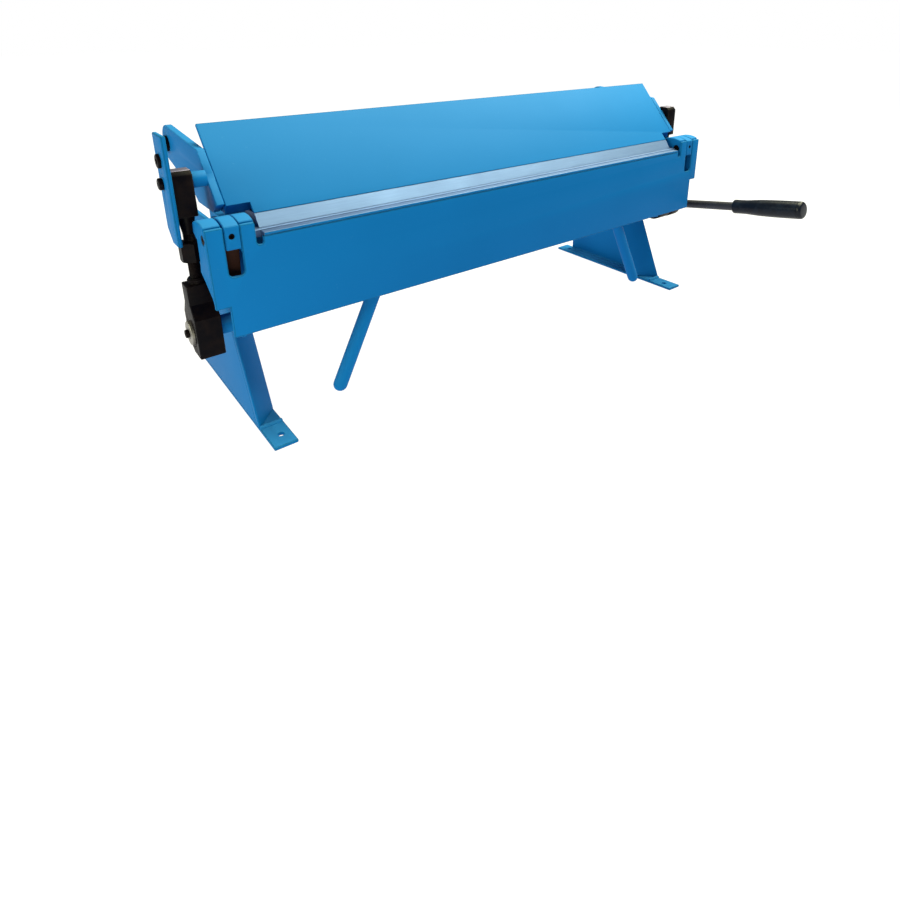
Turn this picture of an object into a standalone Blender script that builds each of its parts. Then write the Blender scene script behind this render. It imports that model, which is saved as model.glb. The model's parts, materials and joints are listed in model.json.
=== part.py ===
"""Bench machine that bends sheet metal: feet, bed, hinged apron, clamping beam and lever.

Metres. X runs along the beam, Y from the operator to the back, Z up from the feet.
Places are measured from the front face of the apron, from the floor, and outwards from the ends of
the clamping length.
"""

import math

import bmesh
import bpy
from mathutils import Matrix, Vector

# Sides of the machine, as seen from the operator
SIDES = {"left": -1, "right": 1}
GAP = 0.0003
ROUND_SEGMENTS = 28
SMALL_SEGMENTS = 18
HEXAGON = 6
CORNER_STEPS = 4
BOSS_STEPS = 12
CROWN_STEPS = 6
SMOOTH_ANGLE = math.radians(35)
EDGE = 0.0012
SMALL_EDGE = 0.0006
OVERRUN = 0.004

# Half the clamping length. Every X and REACH below is measured outwards from its end.
CLAMP_HALF = 0.4985

# Feet and side plates
FOOT_INNER_X = -0.005
FOOT_OUTER_X = 0.0351
FOOT_FRONT_Y = -0.021
FOOT_REAR_Y = 0.383
FOOT_THICKNESS = 0.006
FOOT_HOLE_RADIUS = 0.0055
FOOT_HOLE_X = 0.0125
FOOT_HOLE_FRONT_Y = 0.010
FOOT_HOLE_REAR_Y = 0.352
SIDE_INNER_X = 0.0275
SIDE_OUTER_X = 0.0355
SIDE_FRONT_Y = 0.063
SIDE_REAR_Y = 0.355
SIDE_TOP_Z = 0.340
SIDE_CHIN_Z = 0.170
LEG_TOE_Y = 0.040
LEG_NECK_Z = 0.155
LEG_LEAN = 0.45
SHOULDER_Z = 0.300
POST_FILLET = 0.020
POST_BOSS = 0.020
POST_REAR_ANGLE = 12
FLANGE_SWEEP_BACK = 0.0465
FLANGE_THICKNESS = 0.006
FLANGE_LIP = 0.013
FLANGE_FOLD = 0.005

# Bed between the side plates
BEND_Y = 0.015
BEND_Z = 0.357
BED_GAP = 0.0008
BED_BLADE_REACH = 0.0115
BED_BLADE_REAR_Y = 0.110
BED_BLADE_THICKNESS = 0.012
BED_FRONT_Y = 0.0635
BED_REAR_Y = 0.142
BED_LOW_Z = 0.240
BED_WALL = 0.006
TABLE_REAR_Y = 0.180
TABLE_DROP = 0.0006
TIE_RADIUS = 0.012
TIE_Y = 0.330
TIE_Z = 0.100

# Hinge of the apron, on the bending line
PIN_RADIUS = 0.008
PIN_CLEARANCE = 0.0003
LUG_TOP_Z = 0.374
LUG_CROWN = 0.007
LUG_REAR_Y = 0.057
LUG_BELLY_Y = 0.061
LUG_BELLY_Z = 0.358
FIXED_INNER_X = 0.0358
FIXED_OUTER_X = 0.057
FIXED_LOW_Z = 0.339
FIXED_BACK_Y = 0.0115
FIXED_BACK_LOW_Y = 0.020
FIXED_BACK_LOW_Z = 0.292
FIXED_TAIL_X = 0.0435
FIXED_TAIL_Y = 0.110
FIXED_TAIL_TOP_Z = 0.362
FIXED_TAIL_LOW_Z = 0.305
INNER_LUG_X = (0.0135, 0.0347)
OUTER_LUG_X = (0.0597, 0.0835)
INNER_LUG_LOW_Z = 0.330
SCREW_X = 0.0475
SCREW_Z = 0.359
SCREW_RADIUS = 0.0042
SCREW_FRONT_Y = 0.0012
SCREW_REAR_Y = 0.0064

# Apron
APRON_THICKNESS = 0.006
APRON_LOW_Z = 0.203
APRON_REACH = 0.0635
APRON_OPEN_REACH = 0.0035
NOTCH_LOW_Z = 0.339
NOTCH_CORNER = 0.003
SLOT_INNER_X = 0.0355
SLOT_OUTER_X = 0.0585
SLOT_LOW_Z = 0.298
SLOT_CORNER = 0.008
WING_LOW_Z = {"left": 0.253, "right": 0.275}
WING_SHOULDER = (0.045, 0.350)
WING_WAIST = (0.047, 0.318)
WING_HEEL = (0.053, 0.298)
WING_HIP = (0.034, 0.286)
WING_TAIL = (0.009, 0.268)
BAR_REACH = 0.0015
BAR_DROP = 0.0012
BAR_TOP_Z = BEND_Z - BAR_DROP
BAR_LIP = 0.0045
BAR_LOW_Z = 0.330
STIFFENER_REACH = 0.0065
STIFFENER_REAR_Y = 0.045
STIFFENER_Z = (0.296, 0.302)

# Bending handles, splayed outwards below the apron
HANDLE_RADIUS = 0.01225
HANDLE_Y = 0.022
HANDLE_END_X = -0.0985
HANDLE_END_Z = 0.039
HANDLE_ANGLE = math.radians(26.6)
HANDLE_LENGTH = 0.266
HANDLE_TIP_ANGLE = 168
SOCKET_RADIUS = 0.0154
SOCKET_SPAN = (0.198, 0.276)

# Clamping beam
COVER_LOW_Y = 0.037
COVER_LOW_Z = 0.3763
COVER_TOP_Y = 0.148
COVER_TOP_Z = 0.500
COVER_THICKNESS = 0.006
COVER_REACH = 0.0357
COVER_CUT_Z = 0.391
CLAMP_SETBACK = 0.0085
CLAMP_NOSE_GAP = 0.0004
CLAMP_BEVEL_Y = 0.037
CLAMP_REAR_Y = 0.080
BOX_GAP = 0.0005
BASE_THICKNESS = 0.014
BASE_REAR_Y = 0.142
WEB_THICKNESS = 0.008
WEB_REACH = 0.0215
ARM_INNER_X = 0.036
ARM_OUTER_X = 0.048
ARM_NOSE_Z = 0.393
ARM_BROW_Z = 0.466
ARM_CHIN_Y = 0.064
ARM_CHIN_Z = 0.386
ARM_LOW_Z = 0.3765
ARM_LOW_FRONT_Y = 0.080
ARM_LOW_REAR_Y = 0.150
ARM_HEEL_Y = 0.170
ARM_HEEL_Z = 0.389
ARM_BOSS_ANGLES = (100, -76)
PIVOT_Y = 0.295
PIVOT_Z = 0.450
PIVOT_RADIUS = 0.008
PIVOT_BOSS = 0.031
PIVOT_HEAD_RADIUS = 0.0135
PIVOT_HEAD_LENGTH = 0.009
PIVOT_NUT_LENGTH = 0.0085

# Clamp shaft with its eccentrics
SHAFT_Y = 0.091
SHAFT_Z = 0.189
SHAFT_RADIUS = 0.010
SHAFT_PROUD = 0.002
BUSH_RADIUS = 0.0155
BUSH_INNER_X = 0.0205
THROW = 0.003
THROW_ANGLE = math.radians(225)
ECCENTRIC_RADIUS = 0.020
ECCENTRIC_CLEARANCE = 0.0008
BLOCK_LEAD = 0.0004
WASHER_RADIUS = 0.0195
WASHER_THICKNESS = 0.004
END_SCREW_RADIUS = 0.004
END_SCREW_DEPTH = 0.016
END_SCREW_HEAD_RADIUS = 0.0068
END_SCREW_HEAD_LENGTH = 0.005

# Links from the eccentrics up to the clamping beam
LINK_X = {"left": 0.0835, "right": 0.0628}
LINK_Y = 0.088
LINK_PIN_Z = 0.428
LINK_PIN_RADIUS = 0.0055
LINK_PIN_HEAD_RADIUS = 0.009
LINK_PIN_HEAD_LENGTH = 0.006
CLEVIS_HALF_X = 0.0142
CLEVIS_HALF_Y = 0.0168
CLEVIS_Z = (0.377, 0.446)
CLEVIS_CHAMFER = 0.007
LINK_ROD_RADIUS = 0.0088
LINK_ROD_Z = (0.250, 0.402)
LINK_NUT_RADIUS = 0.0182
LINK_NUT_Z = (0.307, 0.337)
NECK_HALF_X = 0.0135
NECK_HALF_Y = 0.015
NECK_TOP_Z = 0.271
NECK_BOSS_RADIUS = 0.0119
NECK_BOSS_TOP_Z = 0.2795
BLOCK_HALF_X = 0.019
BLOCK_FRONT_Y = 0.0585
BLOCK_REAR_Y = 0.117
BLOCK_LOW_Z = 0.154
BLOCK_CHAMFER_Z = 0.172
BLOCK_CHAMFER = 0.025
BLOCK_ROUND = 0.0335
BLOCK_SHOULDER_Z = 0.219
BLOCK_NECK_Z = 0.240
CHEEK_INNER_X = 0.1002
CHEEK_OUTER_X = 0.1065
CHEEK_FRONT_Y = 0.052
CHEEK_REAR_Y = 0.108
CHEEK_LEAN = 0.006
CHEEK_LOW_Z = 0.338
CHEEK_CHAMFER = 0.020
CHEEK_BOLT_Y = 0.082
CHEEK_BOLT_Z = 0.462
CHEEK_BOLT_TO_TOP = 0.038
CHEEK_TOP_Z = CHEEK_BOLT_Z + CHEEK_BOLT_TO_TOP
CHEEK_BOLT_RADIUS = 0.005
CHEEK_BOLT_HEAD_RADIUS = 0.0105
CHEEK_BOLT_HEAD_LENGTH = 0.0042
CHEEK_BOLT_END_X = 0.0875
COLLAR_RADIUS = 0.012

# Clamp lever on the right-hand end of the shaft
LEVER_X = 0.106
LEVER_ANGLE = math.radians(9.4)
LEVER_ROD_RADIUS = 0.0102
LEVER_ROD_SPAN = (0.0115, 0.235)
HUB_RADIUS = 0.034
HUB_HALF_X = 0.015
GRIP_SPAN = (0.1985, 0.366)
GRIP_RADIUS = 0.0202
GRIP_SWELL_SHARES = ((0.02, 0.82), (0.18, 0.83), (0.3, 0.9), (0.42, 0.96), (0.7, 1))
GRIP_END_SHARE = 0.98
GRIP_ROUND = 0.004
GRIP_BORE_DEPTH = 0.042

# Reference point of the part: middle of its box, on the floor
GRIP_FRONT_Y = (
    SHAFT_Y
    - GRIP_SPAN[1] * math.cos(LEVER_ANGLE)
    - (GRIP_RADIUS * GRIP_END_SHARE - GRIP_ROUND) * math.sin(LEVER_ANGLE)
)
LEFT_REACH = CHEEK_OUTER_X + GAP + LINK_PIN_HEAD_LENGTH
RIGHT_REACH = LEVER_X + GRIP_RADIUS
ORIGIN = Vector(((RIGHT_REACH - LEFT_REACH) / 2, (FOOT_REAR_Y + GRIP_FRONT_Y) / 2, 0))

PAINTS = {
    "blue_enamel": ((0.055, 0.35, 0.70), 0.35, 0.0),
    "ground_steel": ((0.60, 0.60, 0.64), 0.35, 1.0),
    "black_oxide": ((0.03, 0.03, 0.035), 0.45, 0.6),
    "black_plastic": ((0.02, 0.02, 0.022), 0.4, 0.0),
}


def across(side, reach):
    """X of a place this far outwards from the end of the clamping length."""
    return SIDES[side] * (CLAMP_HALF + reach)


def link_axis(side):
    return Vector((across(side, LINK_X[side]), LINK_Y, LINK_PIN_Z))


# Where each moving body turns
BODIES = {
    "frame": Vector((0, 0, 0)),
    "apron": Vector((0, BEND_Y, BEND_Z)),
    "clamp_beam": Vector((0, PIVOT_Y, PIVOT_Z)),
    "clamp_shaft": Vector((0, SHAFT_Y, SHAFT_Z)),
    "left_link": link_axis("left"),
    "right_link": link_axis("right"),
}


def clear_scene():
    for thing in list(bpy.data.objects):
        bpy.data.objects.remove(thing)


def make_bodies():
    for name, axis in BODIES.items():
        empty = bpy.data.objects.new("body_" + name, None)
        empty.location = axis - ORIGIN
        bpy.context.scene.collection.objects.link(empty)


def make_paints():
    for name, (colour, roughness, metallic) in PAINTS.items():
        paint = bpy.data.materials.new(name)
        paint.use_nodes = True
        shader = paint.node_tree.nodes["Principled BSDF"]
        shader.inputs["Base Color"].default_value = (*colour, 1)
        shader.inputs["Roughness"].default_value = roughness
        shader.inputs["Metallic"].default_value = metallic


def place(bm, name, body, paint):
    """Makes the object of a mesh drawn in machine coordinates, with its origin on its body's axis."""
    bmesh.ops.translate(bm, vec=-BODIES[body], verts=bm.verts)
    bmesh.ops.recalc_face_normals(bm, faces=bm.faces)
    if bm.calc_volume(signed=True) < 0:
        bmesh.ops.reverse_faces(bm, faces=bm.faces)
    mesh = bpy.data.meshes.new(name)
    bm.to_mesh(mesh)
    bm.free()
    mesh.shade_smooth()
    mesh.set_sharp_from_angle(angle=SMOOTH_ANGLE)
    mesh.materials.append(bpy.data.materials[paint])
    piece = bpy.data.objects.new(name, mesh)
    piece.parent = bpy.data.objects["body_" + body]
    bpy.context.scene.collection.objects.link(piece)
    return piece


def bevelled(piece, width):
    """Breaks the sharp edges of a piece."""
    bevel = piece.modifiers.new("edges", "BEVEL")
    bevel.width = width
    bevel.segments = 1
    bevel.limit_method = "ANGLE"
    bevel.angle_limit = SMOOTH_ANGLE
    return piece


def cut(piece, cutter, operation="DIFFERENCE"):
    """Cuts the piece with a helper, or joins the helper to it."""
    cutter.hide_render = True
    cutter.display_type = "WIRE"
    boolean = piece.modifiers.new(cutter.name, "BOOLEAN")
    boolean.operation = operation
    boolean.object = cutter
    boolean.solver = "EXACT"
    return piece


AXES = {"x": (0, 1, 2), "y": (1, 0, 2), "z": (2, 0, 1)}


def prism(name, outline, axis, span, body, paint, edge=EDGE):
    """A flat outline drawn across an axis and extruded along it over the span."""
    along, first, second = AXES[axis]
    low, high = min(span), max(span)
    bm = bmesh.new()
    corners = []
    for a, b in outline:
        point = [0, 0, 0]
        point[along], point[first], point[second] = low, a, b
        corners.append(bm.verts.new(point))
    face = bm.faces.new(corners)
    grown = bmesh.ops.extrude_face_region(bm, geom=[face])
    shift = [0, 0, 0]
    shift[along] = high - low
    moved = [v for v in grown["geom"] if isinstance(v, bmesh.types.BMVert)]
    bmesh.ops.translate(bm, vec=shift, verts=moved)
    piece = place(bm, name, body, paint)
    return bevelled(piece, edge) if edge else piece


def box(name, xs, ys, zs, body, paint, edge=EDGE):
    outline = [(ys[0], zs[0]), (ys[1], zs[0]), (ys[1], zs[1]), (ys[0], zs[1])]
    return prism(name, outline, "x", xs, body, paint, edge)


def turned(name, profile, start, direction, body, paint, segments=ROUND_SEGMENTS):
    """A solid of revolution: profile holds (distance along the direction, radius) pairs."""
    turn = direction.to_track_quat("Z", "Y").to_matrix().to_4x4()
    bm = bmesh.new()
    rings = []
    for along, radius in profile:
        ring = []
        for step in range(segments):
            angle = 2 * math.pi * step / segments
            ring.append(bm.verts.new((radius * math.cos(angle), radius * math.sin(angle), along)))
        rings.append(ring)
    for below, above in zip(rings, rings[1:]):
        skin(bm, below, above)
    bm.faces.new(rings[0])
    bm.faces.new(rings[-1])
    bmesh.ops.transform(bm, matrix=Matrix.Translation(start) @ turn, verts=bm.verts)
    return place(bm, name, body, paint)


def skin(bm, below, above):
    """The wall of quads between two rings of as many points."""
    for step in range(len(below)):
        bm.faces.new((below[step - 1], below[step], above[step], above[step - 1]))


def bar_x(name, radius, y, z, xs, body, paint, segments=ROUND_SEGMENTS):
    """A plain round bar on an axis along X."""
    profile = [(min(xs), radius), (max(xs), radius)]
    return turned(name, profile, Vector((0, y, z)), Vector((1, 0, 0)), body, paint, segments)


def stepped_x(name, side, steps, y, z, body, paint, segments=ROUND_SEGMENTS):
    """A turned piece on an axis along X; steps holds (reach, radius) pairs, going outwards."""
    profile = [(across(side, reach), radius) for reach, radius in steps]
    ordered = profile if SIDES[side] > 0 else profile[::-1]
    return turned(name, ordered, Vector((0, y, z)), Vector((1, 0, 0)), body, paint, segments)


def both(side, pair):
    """The span between two reaches, on this side."""
    return [across(side, reach) for reach in pair]


def from_end_to_end(reach):
    """The span of a piece that passes both ends of the clamping length by this reach."""
    return [across(side, reach) for side in SIDES]


def bore_x(piece, name, radius, y, z, xs, body, segments=ROUND_SEGMENTS):
    """Cuts a bore along X, a little longer than the wall it passes."""
    span = (min(xs) - OVERRUN, max(xs) + OVERRUN)
    return cut(piece, bar_x(name, radius, y, z, span, body, "ground_steel", segments))


def cover_y(z):
    """Where the sloping face of the clamp cover stands at this height."""
    share = (z - COVER_LOW_Z) / (COVER_TOP_Z - COVER_LOW_Z)
    return COVER_LOW_Y + share * (COVER_TOP_Y - COVER_LOW_Y)


def cover_back_y(z):
    """Where the back of the clamp cover stands at this height."""
    run, rise = COVER_TOP_Y - COVER_LOW_Y, COVER_TOP_Z - COVER_LOW_Z
    return cover_y(z) + COVER_THICKNESS * math.hypot(run, rise) / rise


def cover_back_z(y):
    """Height of the back of the clamp cover above this place."""
    run, rise = COVER_TOP_Y - COVER_LOW_Y, COVER_TOP_Z - COVER_LOW_Z
    return COVER_LOW_Z + (y - cover_back_y(COVER_LOW_Z)) * rise / run


def arc(y, z, radius, start, end, steps):
    """Points on an arc, with its angles in degrees from +Y towards +Z."""
    points = []
    for step in range(steps + 1):
        angle = math.radians(start + (end - start) * step / steps)
        points.append((y + radius * math.cos(angle), z + radius * math.sin(angle)))
    return points


def bent(before, corner, after, reach):
    """Points of a smooth bend in place of a corner, starting this far from it."""
    start = corner + (before - corner).normalized() * reach
    end = corner + (after - corner).normalized() * reach
    points = []
    for step in range(CORNER_STEPS + 1):
        share = step / CORNER_STEPS
        points.append(start * (1 - share) ** 2 + corner * 2 * share * (1 - share) + end * share**2)
    return points


def crown(front):
    """The rounded top of a lug, from this front face back."""
    middle = LUG_REAR_Y / 2
    radius = (middle**2 + LUG_CROWN**2) / (2 * LUG_CROWN)
    centre = LUG_TOP_Z + LUG_CROWN - radius
    points = []
    for step in range(CROWN_STEPS + 1):
        y = front + (LUG_REAR_Y - front) * step / CROWN_STEPS
        points.append((y, centre + math.sqrt(radius**2 - (y - middle) ** 2)))
    return points


def leg_y(z):
    """Front of the leg, which leans back as it rises."""
    return LEG_TOE_Y + LEG_LEAN * z


# Frame: feet, legs and bed


def make_foot(side):
    name = side + "_foot_plate"
    xs = both(side, (FOOT_INNER_X, FOOT_OUTER_X))
    plate = box(name, xs, (FOOT_FRONT_Y, FOOT_REAR_Y), (0, FOOT_THICKNESS), "frame", "blue_enamel")
    for end, y in (("front", FOOT_HOLE_FRONT_Y), ("rear", FOOT_HOLE_REAR_Y)):
        start = Vector((across(side, FOOT_HOLE_X), y, -OVERRUN))
        hole = [(0, FOOT_HOLE_RADIUS), (FOOT_THICKNESS + 2 * OVERRUN, FOOT_HOLE_RADIUS)]
        up = Vector((0, 0, 1))
        cutter = turned(name + "_" + end, hole, start, up, "frame", "ground_steel", SMALL_SEGMENTS)
        cut(plate, cutter)


def side_outline():
    floor = FOOT_THICKNESS + GAP
    post_front = PIVOT_Y - POST_BOSS
    behind_lip = FLANGE_LIP + GAP
    neck = leg_y(LEG_NECK_Z)
    outline = [(leg_y(floor) + behind_lip, floor), (neck + behind_lip, LEG_NECK_Z), (neck, LEG_NECK_Z)]
    outline += [(SIDE_FRONT_Y, SIDE_CHIN_Z), (SIDE_FRONT_Y, SIDE_TOP_Z)]
    outline += arc(post_front - POST_FILLET, SIDE_TOP_Z + POST_FILLET, POST_FILLET, -90, 0, CORNER_STEPS)
    outline += arc(PIVOT_Y, PIVOT_Z, POST_BOSS, 180, POST_REAR_ANGLE, BOSS_STEPS)
    outline += [(SIDE_REAR_Y, SHOULDER_Z), (SIDE_REAR_Y, floor)]
    return outline


def make_side_plate(side):
    name = side + "_side_plate"
    xs = both(side, (SIDE_INNER_X, SIDE_OUTER_X))
    plate = prism(name, side_outline(), "x", xs, "frame", "blue_enamel")
    bore_x(plate, name + "_pivot", PIVOT_RADIUS + PIN_CLEARANCE, PIVOT_Y, PIVOT_Z, xs, "frame")
    bore_x(plate, name + "_bush", BUSH_RADIUS + GAP, SHAFT_Y, SHAFT_Z, xs, "frame")


def make_leg_flange(side):
    """The slanted front wall of the leg, folded over the front edge of the side plate."""
    outer, inner = SIDE_OUTER_X, FOOT_INNER_X
    beside = SIDE_INNER_X - GAP
    sweep = FLANGE_SWEEP_BACK / (outer - inner)
    depth = FLANGE_THICKNESS * math.hypot(1, sweep)
    fold = Vector((outer, 0))
    lip = Vector((outer, FLANGE_LIP))
    far = Vector((inner, FLANGE_SWEEP_BACK))
    plan = [lip] + bent(lip, fold, far, FLANGE_FOLD) + [far, Vector((inner, FLANGE_SWEEP_BACK + depth))]
    plan += [Vector((beside, (outer - beside) * sweep + depth)), Vector((beside, FLANGE_LIP))]
    bm = bmesh.new()
    rings = []
    for z in (FOOT_THICKNESS + GAP, LEG_NECK_Z - GAP):
        rings.append([bm.verts.new((across(side, reach), leg_y(z) + back, z)) for reach, back in plan])
    low, high = rings
    bm.faces.new(low)
    bm.faces.new(high)
    skin(bm, low, high)
    bevelled(place(bm, side + "_leg_flange", "frame", "blue_enamel"), EDGE)


def make_bed():
    rear = BED_BLADE_REAR_Y
    top = (BEND_Z - BED_BLADE_THICKNESS, BEND_Z)
    xs = from_end_to_end(BED_BLADE_REACH)
    box("bed_blade", xs, (BEND_Y + BED_GAP, rear), top, "frame", "ground_steel", SMALL_EDGE)
    high = top[0] - GAP
    inner = BED_FRONT_Y + BED_WALL
    table_front = rear + GAP
    table_top = BEND_Z - TABLE_DROP
    channel = [
        (BED_FRONT_Y, BED_LOW_Z),
        (BED_REAR_Y, BED_LOW_Z),
        (BED_REAR_Y, BED_LOW_Z + BED_WALL),
        (inner, BED_LOW_Z + BED_WALL),
        (inner, high - BED_WALL),
        (TABLE_REAR_Y, high - BED_WALL),
        (TABLE_REAR_Y, table_top),
        (table_front, table_top),
        (table_front, high),
        (BED_FRONT_Y, high),
    ]
    xs = from_end_to_end(SIDE_INNER_X - GAP)
    prism("bed_beam", channel, "x", xs, "frame", "blue_enamel")
    bar_x("rear_tie", TIE_RADIUS, TIE_Y, TIE_Z, xs, "frame", "blue_enamel")


def make_bush(side):
    name = side + "_shaft_bush"
    xs = both(side, (BUSH_INNER_X, LINK_X[side] - BLOCK_HALF_X - GAP))
    bush = bar_x(name, BUSH_RADIUS, SHAFT_Y, SHAFT_Z, xs, "frame", "blue_enamel")
    bore_x(bush, name + "_bore", SHAFT_RADIUS + PIN_CLEARANCE, SHAFT_Y, SHAFT_Z, xs, "frame")


def make_pivot(side):
    """The bolt and nut that carry the rear end of a clamp arm."""
    head = ARM_OUTER_X + GAP
    nut_end = SIDE_INNER_X - GAP
    shank_end = nut_end - PIVOT_NUT_LENGTH
    steps = [
        (shank_end, PIVOT_RADIUS),
        (head, PIVOT_RADIUS),
        (head, PIVOT_HEAD_RADIUS),
        (head + PIVOT_HEAD_LENGTH, PIVOT_HEAD_RADIUS),
    ]
    stepped_x(side + "_pivot_bolt", side, steps, PIVOT_Y, PIVOT_Z, "frame", "black_oxide")
    name = side + "_pivot_nut"
    xs = both(side, (shank_end, nut_end))
    nut = bar_x(name, PIVOT_HEAD_RADIUS, PIVOT_Y, PIVOT_Z, xs, "frame", "black_oxide", HEXAGON)
    bore_x(nut, name + "_bore", PIVOT_RADIUS + PIN_CLEARANCE, PIVOT_Y, PIVOT_Z, xs, "frame")


def make_fixed_lug(side):
    """The lug that the hinge pin is screwed into, welded to the side plate by its tail."""
    name = side + "_fixed_lug"
    head = [
        (0, FIXED_LOW_Z),
        (FIXED_BACK_Y, FIXED_LOW_Z),
        (FIXED_BACK_LOW_Y, FIXED_BACK_LOW_Z),
        (LUG_BELLY_Y, FIXED_BACK_LOW_Z),
        (LUG_BELLY_Y, LUG_BELLY_Z),
    ]
    head += crown(0)[::-1]
    lug = prism(name, head, "x", both(side, (FIXED_INNER_X, FIXED_OUTER_X)), "frame", "blue_enamel")
    tail_front = LUG_REAR_Y - OVERRUN
    tail = [
        (tail_front, FIXED_LOW_Z + OVERRUN),
        (SIDE_FRONT_Y + OVERRUN, FIXED_TAIL_LOW_Z),
        (FIXED_TAIL_Y, FIXED_TAIL_LOW_Z),
        (FIXED_TAIL_Y, FIXED_TAIL_TOP_Z),
        (tail_front, FIXED_TAIL_TOP_Z),
    ]
    xs = both(side, (FIXED_INNER_X, FIXED_TAIL_X))
    cut(lug, prism(name + "_tail", tail, "x", xs, "frame", "blue_enamel", 0), "UNION")
    xs = both(side, (FIXED_INNER_X, FIXED_OUTER_X))
    bore_x(lug, name + "_bore", PIN_RADIUS + PIN_CLEARANCE, BEND_Y, BEND_Z, xs, "frame")
    start = Vector((across(side, SCREW_X), -OVERRUN, SCREW_Z))
    hole = [(0, SCREW_RADIUS + GAP), (BEND_Y, SCREW_RADIUS + GAP)]
    back = Vector((0, 1, 0))
    cut(lug, turned(name + "_tapping", hole, start, back, "frame", "ground_steel", SMALL_SEGMENTS))


def make_hinge_pin(side):
    name = side + "_hinge_pin"
    ends = (INNER_LUG_X[0] + SMALL_EDGE, OUTER_LUG_X[1] - SMALL_EDGE)
    bar_x(name, PIN_RADIUS, BEND_Y, BEND_Z, both(side, ends), "frame", "ground_steel")
    start = Vector((across(side, SCREW_X), SCREW_FRONT_Y, SCREW_Z))
    length = SCREW_REAR_Y - SCREW_FRONT_Y
    screw = [(0, SCREW_RADIUS), (length, SCREW_RADIUS)]
    turned(side + "_set_screw", screw, start, Vector((0, 1, 0)), "frame", "black_oxide", SMALL_SEGMENTS)


# Apron: hinged front plate with its bar, lugs and handles


def apron_half(side):
    """The outline of half the plate, from its lower corner round to the edge that carries the bar."""
    wing_low = WING_LOW_Z[side]
    slot_low = SLOT_LOW_Z + SLOT_CORNER
    half = [
        (APRON_REACH, APRON_LOW_Z),
        (APRON_REACH, wing_low),
        (OUTER_LUG_X[1], wing_low),
        (OUTER_LUG_X[1], LUG_TOP_Z),
        (SLOT_OUTER_X, LUG_TOP_Z),
    ]
    half += arc(SLOT_OUTER_X - SLOT_CORNER, slot_low, SLOT_CORNER, 0, -90, CORNER_STEPS)
    half += arc(SLOT_INNER_X + SLOT_CORNER, slot_low, SLOT_CORNER, -90, -180, CORNER_STEPS)
    half += [
        (SLOT_INNER_X - GAP, LUG_TOP_Z),
        (INNER_LUG_X[0], LUG_TOP_Z),
        (INNER_LUG_X[0], NOTCH_LOW_Z + NOTCH_CORNER),
        (INNER_LUG_X[0] - NOTCH_CORNER, NOTCH_LOW_Z),
        (APRON_OPEN_REACH + NOTCH_CORNER, NOTCH_LOW_Z),
        (APRON_OPEN_REACH, NOTCH_LOW_Z + NOTCH_CORNER),
        (APRON_OPEN_REACH, BAR_TOP_Z - BAR_LIP - GAP),
    ]
    return [(across(side, reach), z) for reach, z in half]


def make_apron_plate():
    outline = apron_half("right") + apron_half("left")[::-1]
    prism("apron_plate", outline, "y", (0, APRON_THICKNESS), "apron", "blue_enamel")


def make_bending_bar():
    back = APRON_THICKNESS + GAP
    lip = BAR_TOP_Z - BAR_LIP
    section = [
        (0, lip),
        (back, lip),
        (back, BAR_LOW_Z),
        (BEND_Y, BAR_LOW_Z),
        (BEND_Y, BAR_TOP_Z),
        (0, BAR_TOP_Z),
    ]
    xs = from_end_to_end(BAR_REACH)
    prism("bending_bar", section, "x", xs, "apron", "ground_steel", SMALL_EDGE)
    xs = from_end_to_end(STIFFENER_REACH)
    box("apron_stiffener", xs, (back, STIFFENER_REAR_Y), STIFFENER_Z, "apron", "blue_enamel")


def make_apron_lugs(side):
    front = APRON_THICKNESS + GAP
    top = crown(front) + [(LUG_BELLY_Y, LUG_BELLY_Z)]
    wing = [WING_SHOULDER, WING_WAIST, WING_HEEL, WING_HIP]
    if side == "left":
        wing.append(WING_TAIL)
    wing.append((front, WING_LOW_Z[side]))
    shoulder = WING_SHOULDER[0]
    inner = [(shoulder, BEND_Z - PIN_RADIUS), (shoulder, NOTCH_LOW_Z), (front, INNER_LUG_LOW_Z)]
    for place_name, span, below in (("outer", OUTER_LUG_X, wing), ("inner", INNER_LUG_X, inner)):
        name = side + "_" + place_name + "_lug"
        lug = prism(name, top + below, "x", both(side, span), "apron", "blue_enamel")
        bore_x(lug, name + "_bore", PIN_RADIUS + PIN_CLEARANCE, BEND_Y, BEND_Z, both(side, span), "apron")


def make_handle(side):
    start = Vector((across(side, HANDLE_END_X), HANDLE_Y, HANDLE_END_Z))
    run = Vector((-SIDES[side] * math.sin(HANDLE_ANGLE), 0, math.cos(HANDLE_ANGLE)))
    tube = []
    for depth, radius in arc(HANDLE_RADIUS, 0, HANDLE_RADIUS, HANDLE_TIP_ANGLE, 90, CORNER_STEPS):
        tube.append((depth, radius))
    tube.append((HANDLE_LENGTH, HANDLE_RADIUS))
    turned(side + "_bending_handle", tube, start, run, "apron", "blue_enamel")
    low, high = SOCKET_SPAN
    name = side + "_handle_socket"
    sleeve = [(low, SOCKET_RADIUS), (high, SOCKET_RADIUS)]
    socket = turned(name, sleeve, start, run, "apron", "blue_enamel")
    bore = HANDLE_RADIUS + PIN_CLEARANCE
    hole = [(low - OVERRUN, bore), (high + OVERRUN, bore)]
    cut(socket, turned(name + "_bore", hole, start, run, "apron", "ground_steel"))


# Clamping beam: cover, blade, arms and their pivots


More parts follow.
